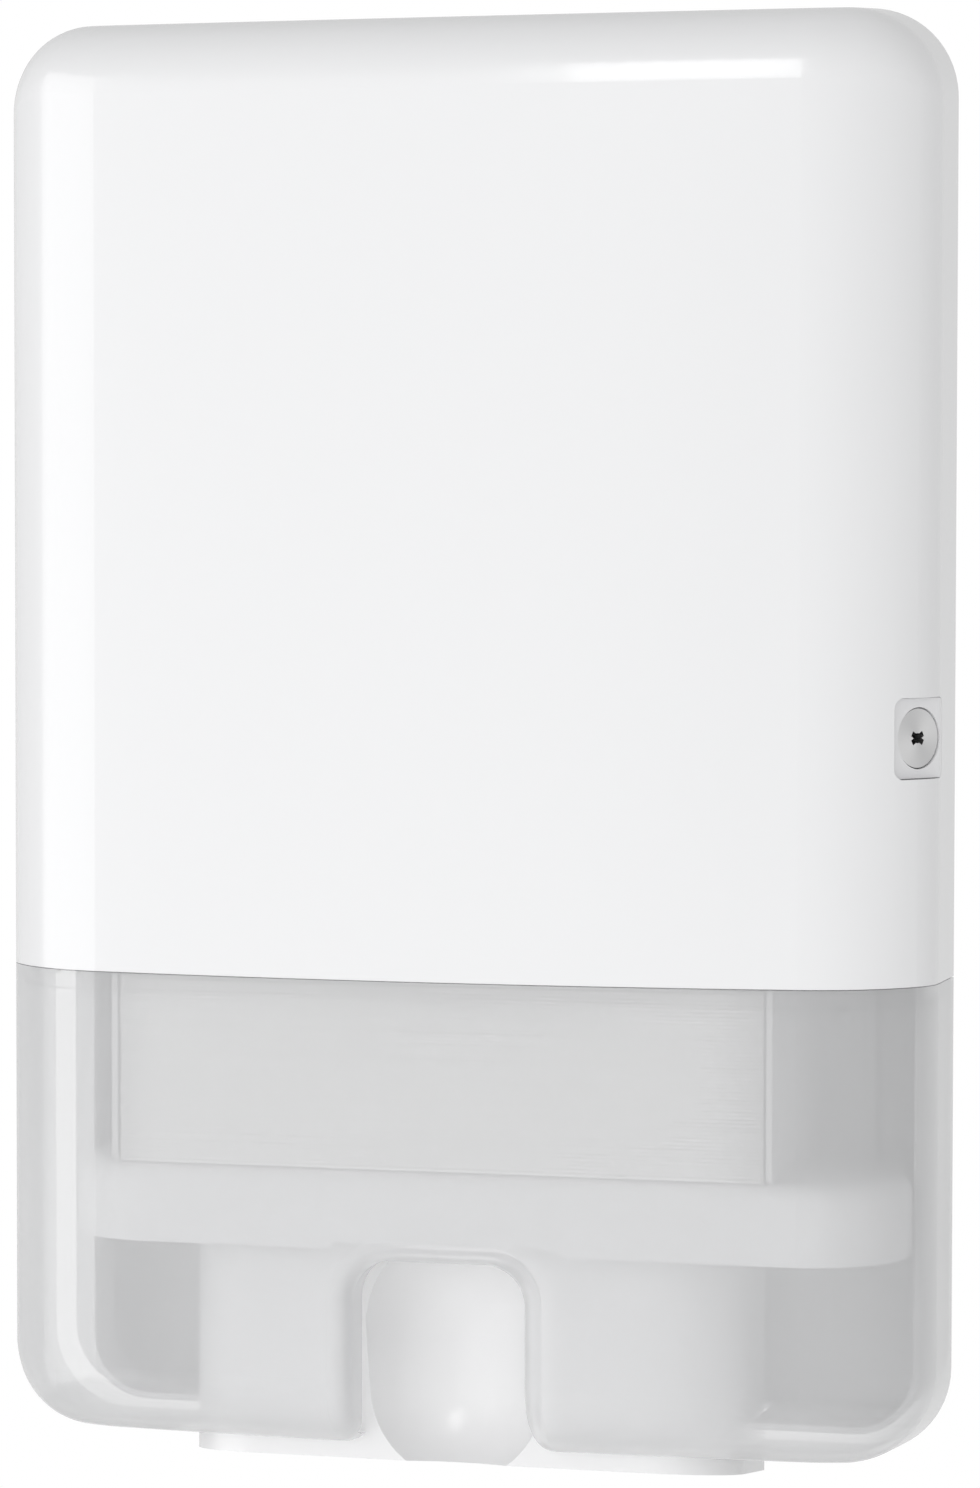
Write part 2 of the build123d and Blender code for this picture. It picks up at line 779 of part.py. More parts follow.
def make_towel_stack():
    """Folded towels."""
    stack = block(
        (feed_x - stack_width / 2, feed_x + stack_width / 2),
        (stack_front_y, stack_rear_y),
        (stack_foot_z, stack_foot_z + stack_height),
    )
    return fillet(stack.edges().filter_by(Axis.X), stack_edge_radius)


# Lock

def make_lock_bezel():
    """Square seat round the lock's face."""
    plate = lock_pad(bezel_size, bezel_corner_radius, -bezel_wall, 0) & outer_form
    return plate - lock_disc(plug_head_radius + plug_head_play, -bezel_wall - 1, 1)


def make_lock_housing():
    """Fixed barrel with its flange under the bezel."""
    flange = lock_disc(barrel_flange_radius, -bezel_wall - barrel_flange_wall, -bezel_wall)
    barrel = lock_disc(barrel_radius, -barrel_depth, -bezel_wall)
    return flange + barrel - lock_disc(plug_radius + plug_play, -barrel_depth - 1, 0)


def make_lock_nut():
    """Ring nut that draws the barrel against the boss."""
    hexagon = RegularPolygon(nut_radius, 6, rotation=30)
    top = -lock_boss_depth
    nut = lock_frame * Pos(0, 0, top - nut_height) * extrude(hexagon, nut_height)
    return nut - lock_disc(barrel_radius, top - nut_height - 1, top + 1)


def plug_foot():
    """Local Z of the plug's inner end."""
    return -barrel_depth - cam_gap


def make_lock_plug():
    """Turning plug with its bright head, the keyhole and a square for the cam."""
    head_top = -plug_head_sink
    head = lock_disc(plug_head_radius, head_top - plug_head_height, head_top)
    plug = head + lock_disc(plug_radius, plug_foot(), head_top)
    square = Rectangle(cam_square, cam_square)
    plug += lock_frame * Pos(0, 0, plug_foot() - cam_wall) * extrude(square, cam_wall)
    keyhole = Circle(keyhole_radius)
    for turn in (30, 150):
        keyhole += Rot(0, 0, turn) * Rectangle(keyhole_slot_length, keyhole_slot_width)
    plug -= lock_frame * Pos(0, 0, head_top - keyhole_depth) * extrude(keyhole, keyhole_depth + 1)
    plug -= lock_disc(
        cam_screw_radius + screw_hole_play,
        plug_foot() - cam_wall - 1,
        plug_foot() + cam_screw_length,
    )
    return plug


def make_lock_cam():
    """Cam on the plug's square, which points up when the lock is open."""
    tip = cam_length - cam_width / 2
    outline = Circle(cam_width / 2) + Pos(0, tip / 2) * Rectangle(cam_width, tip)
    outline += Pos(0, tip) * Circle(cam_width / 2)
    outline -= Rectangle(cam_square + 2 * cam_square_play, cam_square + 2 * cam_square_play)
    return lock_frame * Pos(0, 0, plug_foot() - cam_wall) * extrude(outline, cam_wall)


def make_cam_screw():
    """Screw that holds the cam on the plug."""
    seat = plug_foot() - cam_wall
    head = lock_disc(cam_screw_head_radius, seat - cam_screw_head_height, seat)
    return head + lock_disc(cam_screw_radius, seat, seat + cam_screw_length)


def strike_lip_z():
    """Local Z of the two faces of the strike's lip, outside the locked cam."""
    face = plug_foot() + strike_gap
    return face, face + strike_wall


def strike_arm_x():
    """Low and high X of the strike's arm, on the inside of the base's right wall."""
    high = base_right - base_wall
    return high - strike_wall, high


def make_strike_plate():
    """Bent steel strip on the base's right wall that the locked cam lies behind."""
    low_z, high_z = strike_lip_z()
    arm = strike_arm_x()
    tall = (lock_z - strike_height / 2, lock_z + strike_height / 2)
    lip = Pos((strike_lip_start + strike_lip_end) / 2, 0, (low_z + high_z) / 2)
    lip = lock_frame * lip * Box(strike_lip_end - strike_lip_start, strike_height, strike_wall)
    corner = lock_frame.from_local_coords((strike_lip_end, 0, (low_z + high_z) / 2))
    shank = block(arm, (corner.Y - strike_wall / 2, rim_front_y + strike_foot), tall)
    bridge = block((corner.X - strike_wall / 2, arm[1]), (corner.Y - strike_wall, corner.Y), tall)
    strike = lip + shank + bridge
    for place in strike_screw_places():
        strike -= place * screw_hole(strike_wall)
    return strike


def screws(places, length):
    """Group of like screws."""
    return Compound([place * make_screw(length) for place in places])


parts = {
    "back_plate": make_back_plate(),
    "left_guide": make_guide(-1),
    "right_guide": make_guide(1),
    "guide_screws": screws(guide_screw_places(), guide_screw_length),
    "dispensing_tray": make_tray(),
    "tray_screws": screws(tray_screw_places(), tray_screw_length),
    "dispensing_nozzle": make_nozzle(),
    "nozzle_screws": screws(nozzle_screw_places(), nozzle_screw_length),
    "nozzle_lip_front": make_nozzle_lip(-1),
    "nozzle_lip_rear": make_nozzle_lip(1),
    "strike_plate": make_strike_plate(),
    "strike_screws": screws(strike_screw_places(), strike_screw_length),
    "hinge_pin_upper": make_hinge_pin(hinge_heights["upper"]),
    "hinge_pin_lower": make_hinge_pin(hinge_heights["lower"]),
    "towel_stack": make_towel_stack(),
    "cover_shell": make_cover_shell(),
    "cover_window": make_cover_window(),
    "hinge_bracket_upper": make_hinge_bracket(hinge_heights["upper"]),
    "hinge_bracket_lower": make_hinge_bracket(hinge_heights["lower"]),
    "hinge_bushes": make_hinge_bushes(),
    "hinge_screws": screws(hinge_screw_places(), hinge_screw_length()),
    "lock_bezel": make_lock_bezel(),
    "lock_housing": make_lock_housing(),
    "lock_nut": make_lock_nut(),
    "lock_plug": make_lock_plug(),
    "lock_cam": make_lock_cam(),
    "cam_screw": make_cam_screw(),
}

os.makedirs("parts", exist_ok=True)
for name, shape in parts.items():
    export_step(shape, f"parts/{name}.step")
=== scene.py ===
import json
import math
import random

import bmesh
import bpy
from mathutils import Matrix, Vector


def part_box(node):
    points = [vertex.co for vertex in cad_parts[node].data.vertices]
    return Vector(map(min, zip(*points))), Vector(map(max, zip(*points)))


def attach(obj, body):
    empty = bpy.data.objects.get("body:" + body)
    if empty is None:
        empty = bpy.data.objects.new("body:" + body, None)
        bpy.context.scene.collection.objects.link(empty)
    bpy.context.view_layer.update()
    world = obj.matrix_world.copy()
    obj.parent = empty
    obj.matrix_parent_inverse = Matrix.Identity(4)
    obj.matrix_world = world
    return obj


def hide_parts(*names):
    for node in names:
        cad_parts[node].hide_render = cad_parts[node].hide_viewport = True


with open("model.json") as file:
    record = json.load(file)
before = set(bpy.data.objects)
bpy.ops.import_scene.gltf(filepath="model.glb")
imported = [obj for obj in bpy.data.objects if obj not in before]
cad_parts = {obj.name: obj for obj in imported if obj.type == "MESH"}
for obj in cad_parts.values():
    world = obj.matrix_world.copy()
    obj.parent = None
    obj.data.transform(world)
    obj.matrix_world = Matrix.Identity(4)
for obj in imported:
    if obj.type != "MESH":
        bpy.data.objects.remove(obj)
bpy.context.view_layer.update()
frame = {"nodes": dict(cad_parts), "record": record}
nodes = frame["nodes"]

# All lengths are in metres
weld = 0.000001  # vertices nearer than this are one

# Lock
lock_middle = Vector((0.13918, -0.07156, 0.0008))
lock_turn = math.radians(58)  # its face looks this far to the right of straight ahead

# Towels
towel_pitch = 0.00058  # one folded layer of tissue
towel_ply = 0.0005
towel_play = 0.0004  # from the folds to the stack's front and rear
towel_side_play = 0.0006
towel_scatter = 0.00035  # how far a fold may stand in or out
towel_ripple = 0.00025
fold_steps = 4
width_steps = 10

# Screws
screw_sides = 24
tip_share = 0.7  # the tip's radius and the height of its bevel, to the shank's radius
tip_bevel = 0.4
pan_head = ((1, 0), (1, 0.35), (0.92, 0.72), (0.76, 0.93), (0.58, 1))  # radius and height shares
cross_reach = 0.50  # an arm's reach and half its width, as shares of the head's radius
cross_half = 0.11
cross_taper = 0.72  # the recess's floor, to its mouth
cross_depth = 0.6  # share of the head's height
sharp_angle = math.radians(35)

# Studio
floor_height = -0.75
floor_half = 0.9
floor_glow = 0.40  # what the camera sees of the floor glows this much, so that it looks white
ambient_level = 0.75  # at the horizon
ambient_rise = -0.18  # from the horizon to straight above

# Camera, in degrees and metres, as fitted to the photograph's outline
camera_turn = 15.2526
camera_lift = 2.6852
camera_roll = 0.0866
camera_distance = 1.5145
camera_aim = Vector((0, -0.070, -0.00287))
camera_aside = 0.00833  # from the aim to the camera's right
picture_height = 1488
picture_scale = 3329.7  # pixels to a metre at the aim
sensor_width = 36


# Node helpers

def add_node(tree, kind, **values):
    """New node of a kind, with its plain properties set."""
    node = tree.nodes.new(kind)
    for key, value in values.items():
        setattr(node, key, value)
    return node


def feed(tree, source, node, socket):
    """Links an output to a named or numbered input, or writes a plain value there."""
    target = node.inputs[socket]
    if isinstance(source, bpy.types.NodeSocket):
        tree.links.new(source, target)
    else:
        target.default_value = source


def arithmetic(tree, operation, *values, clamp=False):
    """Math node on up to three values, as its output."""
    node = add_node(tree, "ShaderNodeMath", operation=operation, use_clamp=clamp)
    for place, value in enumerate(values):
        feed(tree, value, node, place)
    return node.outputs[0]


def vector_arithmetic(tree, operation, *values):
    """Vector Math node on one or two vectors, as the node."""
    node = add_node(tree, "ShaderNodeVectorMath", operation=operation)
    for place, value in enumerate(values):
        feed(tree, value, node, place)
    return node


def parts_of(tree, vector):
    """X, Y and Z of a vector, by name."""
    node = add_node(tree, "ShaderNodeSeparateXYZ")
    feed(tree, vector, node, 0)
    return node.outputs


def noise(tree, vector, scale, detail, roughness):
    """Noise value on a vector."""
    node = add_node(tree, "ShaderNodeTexNoise")
    feed(tree, vector, node, "Vector")
    feed(tree, scale, node, "Scale")
    feed(tree, detail, node, "Detail")
    feed(tree, roughness, node, "Roughness")
    return node.outputs["Fac"]


def between(tree, amount, low, high):
    """Value that runs from low to high as the amount goes from 0 to 1."""
    node = add_node(tree, "ShaderNodeMapRange")
    feed(tree, amount, node, "Value")
    feed(tree, low, node, "To Min")
    feed(tree, high, node, "To Max")
    return node.outputs["Result"]


def blend_colour(tree, amount, low, high):
    """Colour that runs from low to high as the amount goes from 0 to 1."""
    node = add_node(tree, "ShaderNodeMix", data_type="RGBA")
    feed(tree, amount, node, "Factor")
    feed(tree, low, node, 6)
    feed(tree, high, node, 7)
    return node.outputs[2]


def shaded(tree, colour, amount):
    """Colour made lighter or darker by an amount."""
    node = vector_arithmetic(tree, "SCALE", colour)
    feed(tree, amount, node, "Scale")
    return node.outputs[0]


def stretched(tree, vector, scale, turn=(0, 0, 0)):
    """Vector scaled along each axis and then turned."""
    mapping = add_node(tree, "ShaderNodeMapping")
    feed(tree, vector, mapping, "Vector")
    feed(tree, scale, mapping, "Scale")
    feed(tree, turn, mapping, "Rotation")
    return mapping.outputs[0]


def surface_place(tree, middle=(0, 0, 0), turn=(0, 0, 0)):
    """Object coordinates, centred and turned on a piece."""
    place = add_node(tree, "ShaderNodeTexCoord")
    mapping = add_node(tree, "ShaderNodeMapping", vector_type="TEXTURE")
    feed(tree, place.outputs["Object"], mapping, "Vector")
    feed(tree, middle, mapping, "Location")
    feed(tree, turn, mapping, "Rotation")
    return mapping.outputs[0]


def relief(tree, shader, height, depth):
    """Bump from a height."""
    bump = add_node(tree, "ShaderNodeBump")
    feed(tree, depth, bump, "Distance")
    feed(tree, height, bump, "Height")
    feed(tree, bump.outputs[0], shader, "Normal")


def seen_directly(tree):
    """1 for what the camera sees with nothing clear in front of it, otherwise 0."""
    ray = add_node(tree, "ShaderNodeLightPath")
    bare = arithmetic(tree, "LESS_THAN", ray.outputs["Transparent Depth"], 0.5)
    return arithmetic(tree, "MULTIPLY", ray.outputs["Is Camera Ray"], bare)


# Shared effects

def new_effect(name, inputs):
    """Empty shader node group with its sockets: its tree, its inputs by name and its output node."""
    group = bpy.data.node_groups.new(name, "ShaderNodeTree")
    for label, kind, value in inputs:
        socket = group.interface.new_socket(label, in_out="INPUT", socket_type="NodeSocket" + kind)
        if value is not None:
            socket.default_value = value
    for label, kind in (("Colour", "Color"), ("Roughness", "Float"), ("Height", "Float")):
        group.interface.new_socket(label, in_out="OUTPUT", socket_type="NodeSocket" + kind)
    given = add_node(group, "NodeGroupInput").outputs
    return group, given, add_node(group, "NodeGroupOutput")


def roughened(tree, rough, *terms):
    """Roughness plus each amount times its share, at most 1."""
    for amount, share in terms:
        extra = arithmetic(tree, "MULTIPLY", amount, share)
        rough = arithmetic(tree, "ADD", rough, extra, clamp=True)
    return rough


def make_moulded_effect():
    """Skin of a moulding: fine grain, slow mottling, handling scuffs and dust on what faces up."""
    group, given, result = new_effect(
        "moulded_skin",
        [
            ("Vector", "Vector", None),
            ("Colour", "Color", (0.8, 0.8, 0.8, 1)),
            ("Roughness", "Float", 0.3),
            ("Grain", "Float", 900.0),
            ("Mottle", "Float", 0.02),
            ("Scuff", "Float", 0.1),
            ("Dust", "Float", 0.1),
        ],
    )
    scuff_level = 0.71
    dust_slope = 0.55  # dust lies where the normal's rise is over this
    dust_colour = (0.62, 0.60, 0.57, 1)

    grain = noise(group, given["Vector"], given["Grain"], detail=3.0, roughness=0.6)
    slow = noise(group, given["Vector"], scale=14.0, detail=3.0, roughness=0.5)
    rubbed = stretched(group, given["Vector"], (1.0, 1.0, 0.12), (0.3, 0.2, 0.5))
    rub = noise(group, rubbed, scale=260.0, detail=5.0, roughness=0.7)
    scuffs = arithmetic(group, "GREATER_THAN", rub, scuff_level)
    scuffs = arithmetic(group, "MULTIPLY", scuffs, given["Scuff"])
    facing = add_node(group, "ShaderNodeNewGeometry").outputs["Normal"]
    lying = arithmetic(group, "SUBTRACT", parts_of(group, facing)["Z"], dust_slope, clamp=True)
    specks = noise(group, given["Vector"], scale=700.0, detail=6.0, roughness=0.75)
    dust = arithmetic(group, "MULTIPLY", lying, specks)
    dust = arithmetic(group, "MULTIPLY", dust, given["Dust"], clamp=True)

    mottle = arithmetic(group, "MULTIPLY", slow, given["Mottle"])
    tone = shaded(group, given["Colour"], arithmetic(group, "SUBTRACT", 1.0, mottle))
    feed(group, blend_colour(group, dust, tone, dust_colour), result, "Colour")
    rough = roughened(group, given["Roughness"], (slow, 0.05), (scuffs, 0.35), (dust, 1.5))
    feed(group, rough, result, "Roughness")
    feed(group, grain, result, "Height")
    return group


def make_metal_effect():
    """Surface of a metal part: drawn lines along one direction and spots of dull zinc."""
    group, given, result = new_effect(
        "worked_metal",
        [
            ("Vector", "Vector", None),
            ("Colour", "Color", (0.6, 0.6, 0.6, 1)),
            ("Roughness", "Float", 0.3),
            ("Lines", "Vector", (1.0, 1.0, 1.0)),
            ("Spangle", "Float", 0.2),
        ],
    )
    cell_scale = 420.0
    brightest = 1.08

    drawn = vector_arithmetic(group, "MULTIPLY", given["Vector"], given["Lines"]).outputs[0]
    lines = noise(group, drawn, scale=1200.0, detail=4.0, roughness=0.6)
    cells = add_node(group, "ShaderNodeTexVoronoi")
    feed(group, given["Vector"], cells, "Vector")
    feed(group, cell_scale, cells, "Scale")
    patch = arithmetic(group, "MULTIPLY", cells.outputs["Distance"], given["Spangle"])

    light = arithmetic(group, "SUBTRACT", brightest, arithmetic(group, "MULTIPLY", lines, 0.16))
    light = arithmetic(group, "SUBTRACT", light, arithmetic(group, "MULTIPLY", patch, 0.5))
    feed(group, shaded(group, given["Colour"], light), result, "Colour")
    rough = roughened(group, given["Roughness"], (lines, 0.12), (patch, 0.25))
    feed(group, rough, result, "Roughness")
    feed(group, lines, result, "Height")
    return group


moulded_skin = make_moulded_effect()
worked_metal = make_metal_effect()


# Finishes

finishes = {}  # materials by the name of their slot


def blank_finish(name):
    """New material, kept among the finishes: its node tree and its shader."""
    finish = finishes[name] = bpy.data.materials.new(name)
    finish.use_nodes = True
    return finish.node_tree, finish.node_tree.nodes["Principled BSDF"]


def set_shader(shader, **values):
    """Writes plain values to a shader's own sockets, named with underscores for spaces."""
    for key, value in values.items():
        shader.inputs[key.replace("_", " ")].default_value = value


def worn_finish(name, effect, depth, values):
    """Material whose colour, roughness and relief come from a shared effect."""
    tree, shader = blank_finish(name)
    skin = add_node(tree, "ShaderNodeGroup", node_tree=effect)
    feed(tree, surface_place(tree), skin, "Vector")
    for label, value in values.items():
        feed(tree, value, skin, label)
    feed(tree, skin.outputs["Colour"], shader, "Base Color")
    feed(tree, skin.outputs["Roughness"], shader, "Roughness")
    relief(tree, shader, skin.outputs["Height"], depth)
    return tree, shader


def moulding(
    name, colour, roughness, grain=900.0, depth=0.000004, mottle=0.02, scuff=0.05, dust=0.1
):
    """Moulded plastic."""
    values = {
        "Colour": (*colour, 1),
        "Roughness": roughness,
        "Grain": grain,
        "Mottle": mottle,
        "Scuff": scuff,
        "Dust": dust,
    }
    return worn_finish(name, moulded_skin, depth, values)


def metal(name, colour, roughness, lines=(1.0, 1.0, 1.0), spangle=0.2, depth=0.000006):
    """Bare or plated metal."""
    values = {
        "Colour": (*colour, 1),
        "Roughness": roughness,
        "Lines": lines,
        "Spangle": spangle,
    }
    _, shader = worn_finish(name, worked_metal, depth, values)
    set_shader(shader, Metallic=1.0)


def make_cover_white():
    """Glossy opaque white of the upper cover."""
    _, shader = moulding(
        "cover_white", (0.83, 0.832, 0.84), 0.17,
        grain=700.0, depth=0.0000015, mottle=0.012, scuff=0.03, dust=0.05,
    )
    set_shader(shader, Coat_Weight=0.25, Coat_Roughness=0.06)


def make_window_clear():
    """Smoke-white translucent plastic of the lower cover, denser where it is seen at a slant."""
    tree, shader = moulding(
        "window_clear", (0.75, 0.752, 0.76), 0.12,
        grain=500.0, depth=0.000001, mottle=0.01, scuff=0.02, dust=0.03,
    )
    set_shader(shader, IOR=1.7)
    rim = add_node(tree, "ShaderNodeLayerWeight")
    steep = arithmetic(tree, "POWER", rim.outputs["Facing"], 2.0)
    ray = add_node(tree, "ShaderNodeLightPath")
    lit = arithmetic(tree, "SUBTRACT", 1.0, ray.outputs["Is Shadow Ray"])
    cover = between(tree, steep, 0.40, 0.92)
    feed(tree, arithmetic(tree, "MULTIPLY", cover, lit), shader, "Alpha")


def make_paper():
    """Soft tissue: fibres along its width, and layers that differ a little in tone."""
    tree, shader = blank_finish("paper")
    spot = surface_place(tree)
    along = stretched(tree, spot, (0.15, 1.0, 1.0))
    fibres = noise(tree, along, scale=2600.0, detail=6.0, roughness=0.7)
    level = stretched(tree, spot, (0.02, 0.02, 1.0))
    sheets = noise(tree, level, scale=900.0, detail=3.0, roughness=0.8)
    tone = blend_colour(tree, sheets, (0.76, 0.76, 0.75, 1), (0.92, 0.92, 0.91, 1))
    feed(tree, tone, shader, "Base Color")
    feed(tree, between(tree, fibres, 0.80, 0.98), shader, "Roughness")
    relief(tree, shader, fibres, depth=0.00006)
    set_shader(shader, Sheen_Weight=0.25, Sheen_Roughness=0.6)


def make_lock_nickel():
    """Turned face of the lock plug: fine rings, with two bright bands across them that are a painted
    highlight in its colour.
    """
    tree, shader = blank_finish("lock_nickel")
    spot = surface_place(tree, lock_middle, (math.pi / 2, 0, lock_turn))
    flat = vector_arithmetic(tree, "MULTIPLY", spot, (1.0, 1.0, 0.0)).outputs[0]
    reach = vector_arithmetic(tree, "LENGTH", flat).outputs["Value"]
    ring = add_node(tree, "ShaderNodeCombineXYZ")
    feed(tree, reach, ring, 0)
    rings = noise(tree, ring.outputs[0], scale=5200.0, detail=4.0, roughness=0.7)
    sides = parts_of(tree, flat)
    # Painted highlight: the colour is lightened most in two opposite bands around the middle and
    # least between them, as a turned face reflects light
    bearing = arithmetic(tree, "ARCTAN2", sides["Y"], sides["X"])
    highlight_sweep = arithmetic(tree, "SINE", arithmetic(tree, "MULTIPLY_ADD", bearing, 2.0, 0.5))
    painted_highlight = arithmetic(tree, "MULTIPLY_ADD", highlight_sweep, 0.25, 0.5)
    tone = blend_colour(tree, rings, (0.50, 0.50, 0.51, 1), (0.64, 0.64, 0.64, 1))
    # The painted highlight blends the ring tone towards pale grey
    tone = blend_colour(tree, painted_highlight, tone, (0.86, 0.86, 0.86, 1))
    feed(tree, tone, shader, "Base Color")
    feed(tree, between(tree, rings, 0.22, 0.42), shader, "Roughness")
    relief(tree, shader, rings, depth=0.000012)
    set_shader(shader, Metallic=1.0)


def make_lip_rubber():
    """Soft lip with a dull bloom."""
    _, shader = moulding(
        "lip_rubber", (0.52, 0.53, 0.54), 0.62, grain=1600.0, depth=0.00001, mottle=0.08
    )
    set_shader(shader, Specular_IOR_Level=0.35)


make_cover_white()
make_window_clear()
moulding("body_grey", (0.62, 0.623, 0.626), 0.46, grain=1500.0, depth=0.00002, mottle=0.06)
moulding("tray_light", (0.78, 0.782, 0.785), 0.38, grain=1300.0, depth=0.00001, mottle=0.03)
moulding("nozzle_white", (0.84, 0.84, 0.845), 0.22, grain=800.0, depth=0.000002, mottle=0.015)
make_paper()
make_lip_rubber()
metal("zinc_steel", (0.60, 0.61, 0.62), 0.28, lines=(0.2, 1.0, 1.0), spangle=0.35)
metal("pin_steel", (0.50, 0.50, 0.51), 0.20, lines=(1.0, 1.0, 0.1), spangle=0.05)
moulding("bush_plastic", (0.74, 0.73, 0.68), 0.36, grain=1200.0, mottle=0.03)
moulding("bezel_white", (0.82, 0.82, 0.83), 0.22, grain=800.0, depth=0.000002)
make_lock_nickel()
metal("lock_zinc", (0.50, 0.51, 0.52), 0.40, spangle=0.5, depth=0.00002)

for subpart in frame["record"]["subparts"]:
    for socket in nodes[subpart["node"]].material_slots:
        socket.material = finishes[subpart["material_slot"]]


# Pieces

def close_up(mesh):
    """Merges doubled vertices, turns all faces outwards and makes them smooth."""
    bmesh.ops.remove_doubles(mesh, verts=mesh.verts, dist=weld)
    bmesh.ops.recalc_face_normals(mesh, faces=mesh.faces)
    for face in mesh.faces:
        face.smooth = True


def placed(name, mesh, slot):
    """Object from a bmesh, in the scene and with its finish."""
    data = bpy.data.meshes.new(name)
    mesh.to_mesh(data)
    mesh.free()
    data.materials.append(finishes[slot])
    piece = bpy.data.objects.new(name, data)
    bpy.context.scene.collection.objects.link(piece)
    return piece


def finished(name, mesh, slot, body, node):
    """Piece from a bmesh: it rides on a body and stands for a node."""
    piece = placed(name, mesh, slot)
    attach(piece, body)
    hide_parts(node)
    return piece


def new_parts(result, kind):
    """Those parts of an operator's result that are of a kind."""
    return [part for part in result["geom"] if isinstance(part, kind)]


def make_towels():
    """One long zigzag of tissue between the guides, folded at the front and at the rear."""
    low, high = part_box("towel_stack")
    radius = towel_pitch / 2
    front = low.y + radius + towel_play
    rear = high.y - radius - towel_play
    left = low.x + towel_side_play
    foot = low.z + towel_ply
    layers = int((high.z - low.z - towel_ply) / towel_pitch)
    scatter = random.Random(7)
    mesh = bmesh.new()
    last = mesh.verts.new((left, rear, foot))
    for layer in range(layers):
        ahead = layer % 2 == 0
        y = (front if ahead else rear) + scatter.uniform(-towel_scatter, towel_scatter)
        z = foot + layer * towel_pitch
        corner = mesh.verts.new((left, y, z))
        mesh.edges.new((last, corner))
        turned = bmesh.ops.spin(
            mesh,
            geom=[corner],
            cent=(left, y, z + radius),
            axis=(1, 0, 0),
            angle=-math.pi if ahead else math.pi,
            steps=fold_steps,
        )
        last = turned["geom_last"][0]

    step = (high.x - low.x - 2 * towel_side_play) / width_steps
    edges = mesh.edges[:]
    for _ in range(width_steps):
        pulled = bmesh.ops.extrude_edge_only(mesh, edges=edges)
        edges = new_parts(pulled, bmesh.types.BMEdge)
        bmesh.ops.translate(mesh, verts=new_parts(pulled, bmesh.types.BMVert), vec=(step, 0, 0))
    for vert in mesh.verts:
        x, _, z = vert.co
        vert.co.y += towel_ripple * math.sin(x * 71 + z * 190) * math.sin(z * 431 + x * 23)
    close_up(mesh)
    piece = finished("towels", mesh, "paper", "frame", "towel_stack")
    wall = piece.modifiers.new("ply", "SOLIDIFY")
    wall.thickness = towel_ply
    wall.offset = 0


def islands(mesh):
    """Groups of vertices that hang together."""
    waiting = dict.fromkeys(mesh.verts)
    while waiting:
        group = [waiting.popitem()[0]]
        for vert in group:
            for edge in vert.link_edges:
                other = edge.other_vert(vert)
                if other in waiting:
                    del waiting[other]
                    group.append(other)
        yield group


def add_chain(mesh, place, points, closed=False):
    """Vertices at the points, as the place puts them, joined in a row or a ring by edges."""
    verts = [mesh.verts.new(place @ Vector(point)) for point in points]
    ends = verts[1:] + verts[:1] if closed else verts[1:]
    return verts, [mesh.edges.new(pair) for pair in zip(verts, ends)]


def add_screw(mesh, seat, axis, head_radius, head_height, shank_radius, length):
    """Pan-head screw with a cross recess, its head on the seat and the axis pointing out of it."""
    place = Matrix.Translation(seat) @ axis.to_track_quat("Z", "X").to_matrix().to_4x4()
    profile = [
        (0, -length),
        (shank_radius * tip_share, -length),
        (shank_radius, -length + shank_radius * tip_bevel),
        (shank_radius, 0),
    ]
    profile += [(head_radius * reach, head_height * rise) for reach, rise in pan_head]
    verts, edges = add_chain(mesh, place, [(reach, 0, height) for reach, height in profile])
    bmesh.ops.spin(
        mesh,
        geom=verts + edges,
        cent=seat,
        axis=axis,
        angle=2 * math.pi,
        steps=screw_sides,
        use_merge=True,
    )
    face_middle = seat + axis * head_height
    face_rim = [
        edge for edge in mesh.edges
        if edge.is_boundary
        and all(abs((vert.co - face_middle).dot(axis)) < weld for vert in edge.verts)
        and all((vert.co - face_middle).length < head_radius for vert in edge.verts)
    ]

    arm, half = head_radius * cross_reach, head_radius * cross_half
    corners = []
    for quarter in range(4):
        turn = Matrix.Rotation(quarter * math.pi / 2, 3, "Z")
        for x, y in ((arm, -half), (arm, half), (half, half)):
            corners.append(turn @ Vector((x, y, head_height)))
    cross = add_chain(mesh, place, corners, closed=True)[1]
    bmesh.ops.triangle_fill(mesh, edges=face_rim + cross, normal=axis, use_beauty=True)
    walls = bmesh.ops.extrude_edge_only(mesh, edges=cross)
    for vert in new_parts(walls, bmesh.types.BMVert):
        inward = (vert.co - face_middle) * cross_taper
        vert.co = face_middle + inward - axis * head_height * cross_depth
    bmesh.ops.edgeloop_fill(mesh, edges=new_parts(walls, bmesh.types.BMEdge))


def make_screws(node, heading, body):
    """Screws with real heads in place of a node's plain ones, measured from them."""
    level_play = 0.00001
    rim_share = 0.98  # what is further out than this share of the widest is the head's rim
    axis = Vector(heading).normalized()
    plain = bmesh.new()
    plain.from_mesh(nodes[node].data)
    bmesh.ops.remove_doubles(plain, verts=plain.verts, dist=weld)
    mesh = bmesh.new()
    for group in islands(plain):
        heights = [vert.co.dot(axis) for vert in group]
        top, tip = max(heights), min(heights)
        head = [vert.co for vert, height in zip(group, heights) if height > top - level_play]
        middle = sum(head, Vector()) / len(head)
        offsets = [vert.co - middle for vert in group]
        reaches = [(offset - axis * offset.dot(axis)).length for offset in offsets]
        head_radius = max(reaches)
        seat = min(
            height for height, reach in zip(heights, reaches) if reach > head_radius * rim_share
        )
        shank_radius = max(
            reach for height, reach in zip(heights, reaches) if height < tip + level_play
        )
        add_screw(
            mesh,
            middle + axis * (seat - top),
            axis,
            head_radius,
            top - seat,
            shank_radius,
            seat - tip,
        )
    plain.free()
    close_up(mesh)
    for edge in mesh.edges:
        if edge.calc_face_angle() > sharp_angle:
            edge.smooth = False
    finished(node + "_crossed", mesh, "zinc_steel", body, node)


